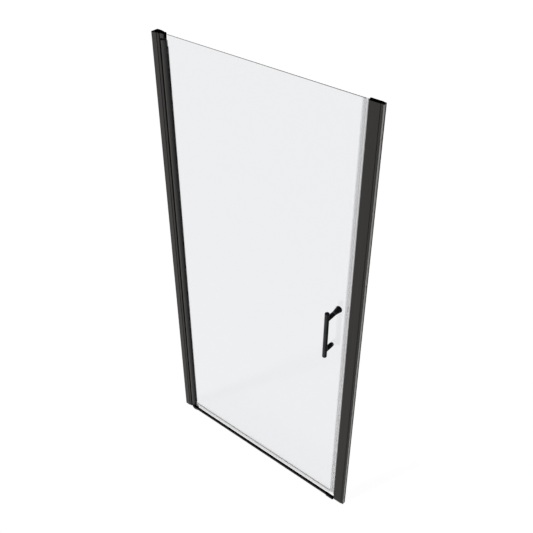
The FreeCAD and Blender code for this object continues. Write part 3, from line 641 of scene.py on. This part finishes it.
def rounded(corners):
    """Rounds the corners of a closed outline, given as rows of u, v and radius. For a corner of half
    angle h, an arc of radius r starts r / tan(h) along each side and its centre lies r / sin(h) along the
    middle line. The points on it turn evenly from the start to the end as seen from the centre."""
    rows = np.asarray(corners, float)
    corner, radius = rows[:, :2], rows[:, 2:]
    before = np.roll(corner, 1, axis=0) - corner
    after = np.roll(corner, -1, axis=0) - corner
    before /= np.linalg.norm(before, axis=1)[:, None]
    after /= np.linalg.norm(after, axis=1)[:, None]
    half = np.arccos(np.clip((before * after).sum(1), -1, 1))[:, None] / 2
    middle = before + after
    middle /= np.linalg.norm(middle, axis=1)[:, None]
    centre = corner + middle * radius / np.sin(half)
    start = corner + before * radius / np.tan(half) - centre
    end = corner + after * radius / np.tan(half) - centre
    turn = (math.pi - 2 * half)[:, :, None]
    t = np.linspace(0, 1, ARC_STEPS)[None, :, None]
    arc = np.sin((1 - t) * turn) * start[:, None] + np.sin(t * turn) * end[:, None]
    return (centre[:, None] + arc / np.sin(turn)).reshape(-1, 2)


def divided(contour, step):
    """Adds points to a closed contour where two neighbours lie further apart than a step. The length
    along the contour is the parameter, and u and v are straight lines of it between the old points."""
    closed = np.r_[contour, contour[:1]]
    along = np.r_[0, np.cumsum(np.linalg.norm(np.diff(closed, axis=0), axis=1))]
    extra = np.arange(0, along[-1], step)
    places = np.unique(np.r_[along[:-1], extra].round(PLACE_DECIMALS))
    return np.c_[np.interp(places, along, closed[:, 0]), np.interp(places, along, closed[:, 1])]


def signed_area(contour):
    """Half the sum of cross products of neighbours: positive where the contour runs anticlockwise."""
    following = np.roll(contour, -1, axis=0)
    return (contour[:, 0] * following[:, 1] - contour[:, 1] * following[:, 0]).sum() / 2


print("outline helpers ready,", ARC_STEPS, "points to a corner")

# %% [markdown]
# ## Carrying a section
# Every point of every contour is placed at both ends of the line, which gives the walls, and the ends are
# filled with triangles. A curve object with a bevel could do the same, but it leaves no hollows and no
# choice of finish for each wall.

# %% Walls and ends
def followers(contours):
    """For each point of all contours, counted through, the number of the next point of its contour."""
    starts = np.cumsum([0] + [len(contour) for contour in contours])
    return np.concatenate([np.roll(np.arange(a, b), -1) for a, b in zip(starts, starts[1:])])


def end_triangles(contours):
    """Triangles that fill the first contour and leave the others open. A triangle is turned round where
    the cross product of two of its sides is negative, so that all run anticlockwise."""
    flat = np.concatenate(contours)
    fill = np.array(tessellate_polygon([np.c_[c, np.zeros(len(c))].tolist() for c in contours]))
    first, second, third = (flat[fill[:, k]] for k in range(3))
    side, other = second - first, third - first
    clockwise = side[:, 0] * other[:, 1] - side[:, 1] * other[:, 0] < 0
    fill[clockwise] = fill[clockwise][:, ::-1]
    return fill


print("wall and end helpers ready")

# %% Extrusion
CREASE = math.radians(40.0)


def extruded(name, contours, ends, place, finishes, choose=None):
    """Carries a section along a line. The first contour is the outside and the others are hollows.
    A point (u, v) of a contour goes to place(u, v, w) at both ends w: each pair of neighbours there
    makes one wall, and the ends are filled with triangles. A wall whose two points agree in the number
    choose(u, v) takes the finish of that number, and the rest takes the first finish."""
    turned = [c if (signed_area(c) > 0) == (i == 0) else c[::-1] for i, c in enumerate(contours)]
    flat = np.concatenate(turned)
    count = len(flat)
    points = np.concatenate([place(flat[:, 0], flat[:, 1], np.full(count, w)) for w in ends])
    index, follower = np.arange(count), followers(turned)
    walls = np.c_[index, follower, follower + count, index + count]
    fill = end_triangles(turned)
    faces = walls.tolist() + fill[:, ::-1].tolist() + (fill + count).tolist()
    mesh = bpy.data.meshes.new(name)
    mesh.from_pydata(points.tolist(), [], faces)
    for finish in finishes:
        mesh.materials.append(finish)
    if choose:
        chosen = choose(flat[:, 0], flat[:, 1])
        finish_index = np.zeros(len(faces), np.int32)
        finish_index[:count] = np.where(chosen == chosen[follower], chosen, 0)
        mesh.polygons.foreach_set("material_index", finish_index)
    mesh.shade_smooth()
    mesh.set_sharp_from_angle(angle=CREASE)
    piece = bpy.data.objects.new(name, mesh)
    scene.collection.objects.link(piece)
    return piece


print("extrusion ready")

# %% [markdown]
# The seals take their place from the CAD nodes that they stand for, so nothing has to be fitted by eye. A
# section is drawn in plan for a piece that stands, and from the side for a piece that lies.

# %% Places
def upright_place(u, v, w):
    """A section drawn in plan, standing along Z, from millimetres to metres."""
    return np.c_[u, v, w] * MM


def lying_place(u, v, w):
    """A section drawn from the side, lying along X, from millimetres to metres."""
    return np.c_[w, u, v] * MM


def box_mm(name):
    """The lowest and highest corner of a CAD node, in millimetres."""
    return [np.array(corner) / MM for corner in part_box(name)]


glass_low, glass_high = box_mm("door_glass")
print("glass in mm:", (glass_high - glass_low).round(1))

# %% [markdown]
# ## The strike seal
# On the closing edge a clear extrusion grips the glass with two legs. Its head holds the door's
# magnet, and its face leans as the strike post's face does, so that the door can swing past it. The
# head is hollow: an air chamber lies between the glass and the pocket of the magnet, and that is what
# makes the pale bands in the photograph. A solid bar would show as one even band.

# %% Strike seal outline
strike_low, strike_high = box_mm("strike_seal")
GRIP_GAP = 0.05
STRIKE_SLOPE = 1.0 / 3.0
STRIKE_LEAN = math.atan(STRIKE_SLOPE)
LEG_RADIUS, HEAD_RADIUS, SLOT_RADIUS = 0.4, 1.2, 0.3

half_glass = glass_high[1]
leg = strike_high[1]
slot_half = half_glass + GRIP_GAP
slot_end = glass_high[0] + GRIP_GAP
lean_back = 2 * leg * math.tan(STRIKE_LEAN)
strike_outside = rounded([
    (strike_low[0], -leg, LEG_RADIUS), (strike_high[0], -leg, HEAD_RADIUS),
    (strike_high[0] - lean_back, leg, HEAD_RADIUS), (strike_low[0], leg, LEG_RADIUS),
    (strike_low[0], slot_half, LEG_RADIUS), (slot_end, slot_half, SLOT_RADIUS),
    (slot_end, -slot_half, SLOT_RADIUS), (strike_low[0], -slot_half, LEG_RADIUS)])
print("strike seal:", round(strike_high[0] - strike_low[0], 2), "mm wide")

# %% [markdown]
# The pocket is a box round the magnet, turned as the face leans. The chamber fills what is left between
# the glass and the pocket, less a web and a skin.

# %% Strike seal hollows
magnet_low, magnet_high = box_mm("door_magnet")
MAGNET_THICKNESS = 3.0
POCKET_GAP = 0.1
POCKET_SKIN = 0.8
POCKET_RADIUS, CHAMBER_RADIUS = 0.3, 0.6
SEAL_WEB = 1.2

magnet_middle = (magnet_low + magnet_high)[:2] / 2
across = np.array([math.cos(STRIKE_LEAN), math.sin(STRIKE_LEAN)])
along_face = np.array([-across[1], across[0]])
pocket_half = half_glass * math.cos(STRIKE_LEAN) + POCKET_GAP
pocket_deep = MAGNET_THICKNESS / 2 + POCKET_GAP
signs = np.array([(-1, -1), (1, -1), (1, 1), (-1, 1)])
pocket_corners = magnet_middle + signs[:, :1] * pocket_deep * across + signs[:, 1:] * pocket_half * along_face
pocket = rounded(np.c_[pocket_corners, np.full(len(signs), POCKET_RADIUS)])

chamber_start = glass_high[0] + SEAL_WEB
behind_pocket = magnet_middle[0] - (pocket_deep + POCKET_SKIN) / math.cos(STRIKE_LEAN)
chamber_lean = half_glass * math.tan(STRIKE_LEAN)
chamber = rounded([
    (chamber_start, -half_glass, CHAMBER_RADIUS), (behind_pocket + chamber_lean, -half_glass, CHAMBER_RADIUS),
    (behind_pocket - chamber_lean, half_glass, CHAMBER_RADIUS), (chamber_start, half_glass, CHAMBER_RADIUS)])

strike_seal = extruded("strike_seal_clip", [strike_outside, pocket, chamber],
                       (strike_low[2], strike_high[2]), upright_place, [upright_seal])
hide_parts("strike_seal")
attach(strike_seal, "door")
print("strike seal:", len(strike_seal.data.polygons), "faces, chamber",
      round(behind_pocket - chamber_start, 2), "mm wide")

# %% [markdown]
# ## The bottom seal
# A second clear extrusion is pushed onto the lower edge of the glass. Two legs grip the sheet, a straight
# fin hangs down at the front, and a bowed fin at the back leads drips into the shower. The tip of the
# front leg is a lip in painted shade, a dark grey that stands for the thin dark line refraction draws along
# the glass. The fin could be an arc in the outline, but it is easier to draw it straight, divide the section
# finely, and then bow it by a sine of the depth below the glass.

# %% Bottom seal outline
bottom_low, bottom_high = box_mm("bottom_seal")
FIN_WALL = 1.2
FIN_BOW = 0.9
POINT_STEP = 1.0
TIP_RADIUS, WEB_RADIUS, SHOULDER_RADIUS, GRIP_RADIUS = 0.3, 0.5, 0.8, 0.2

web_low = glass_low[2] - SEAL_WEB
grip_low = glass_low[2] - GRIP_GAP
fin_tip = bottom_high[1]
floor_line = bottom_low[2]
tip_line = bottom_high[2]
bottom_section = rounded([
    (-leg, floor_line, TIP_RADIUS), (-half_glass, floor_line, TIP_RADIUS),
    (-half_glass, web_low, WEB_RADIUS), (half_glass, web_low, WEB_RADIUS),
    (fin_tip - FIN_WALL, floor_line, TIP_RADIUS), (fin_tip, floor_line, TIP_RADIUS),
    (leg, glass_low[2], SHOULDER_RADIUS), (leg, tip_line, TIP_RADIUS),
    (slot_half, tip_line, TIP_RADIUS), (slot_half, grip_low, GRIP_RADIUS),
    (-slot_half, grip_low, GRIP_RADIUS), (-slot_half, tip_line, TIP_RADIUS), (-leg, tip_line, TIP_RADIUS)])
bottom_section = divided(bottom_section, POINT_STEP)
depth_share = np.clip((web_low - bottom_section[:, 1]) / (web_low - floor_line), 0, 1)
on_fin = bottom_section[:, 0] > half_glass
bottom_section[:, 0] += np.where(on_fin, FIN_BOW * np.sin(math.pi * depth_share), 0)
print("bottom seal:", len(bottom_section), "points round")

# %% [markdown]
# The walls of this seal differ: the front is milky, the lip is painted dark grey as shade, and what lies
# behind or inside is a thin film. A wall is told by where its points lie in the section, which is simpler
# than picking faces.

# %% Bottom seal
LIP_HEIGHT = 4.0


def seal_zone(u, v):
    """0 on the front of the seal, 1 on the lip at the tip of its front leg, and 2 behind and inside."""
    lip = (v > tip_line - LIP_HEIGHT) & (u < 0)
    return np.where(lip, 1, np.where(u < -slot_half - GRIP_GAP, 0, 2))


# The lip's finish is painted shade.
bottom_seal = extruded("bottom_seal_clip", [bottom_section], (bottom_low[0], bottom_high[0]), lying_place,
                       [lying_seal, grip_lip, inner_film], seal_zone)
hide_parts("bottom_seal")
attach(bottom_seal, "door")
print("bottom seal:", len(bottom_seal.data.polygons), "faces")

# %% [markdown]
# ## The glazing gasket
# A black rubber channel holds the glass in the slot of the stile. What shows of it is a soft bead on
# each face of the glass. Its section is a channel whose two outer corners swell a little past the slot,
# with large roundings, so that the bead catches a line of light as rubber does. A plain channel with
# sharp corners would look like metal.

# %% Glazing gasket
gasket_low, gasket_high = box_mm("glazing_gasket")
stile_edge = box_mm("pivot_stile")[1][0]
BEAD_SWELL = 0.7
BEAD_NECK = 0.3
BACK_RADIUS, NECK_RADIUS, BEAD_RADIUS, NOSE_RADIUS = 0.4, 0.2, 1.0, 0.5

jaw = gasket_high[1]
bead_start = stile_edge - BEAD_NECK
bead_end = gasket_high[0]
bead_middle = (bead_start + bead_end) / 2
upper_half = [
    (gasket_low[0], jaw, BACK_RADIUS), (bead_start, jaw, NECK_RADIUS),
    (bead_middle, jaw + BEAD_SWELL, BEAD_RADIUS), (bead_end, jaw - BEAD_SWELL, NOSE_RADIUS),
    (bead_end, slot_half, NECK_RADIUS), (glass_low[0], slot_half, NECK_RADIUS)]
lower_half = [(u, -v, radius) for u, v, radius in upper_half[::-1]]
gasket = extruded("glazing_gasket_bead", [rounded(upper_half + lower_half)],
                  (gasket_low[2], gasket_high[2]), upright_place, [black_rubber])
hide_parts("glazing_gasket")
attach(gasket, "door")
print("gasket:", len(gasket.data.polygons), "faces, bead", round(bead_end - bead_start, 2), "mm wide")
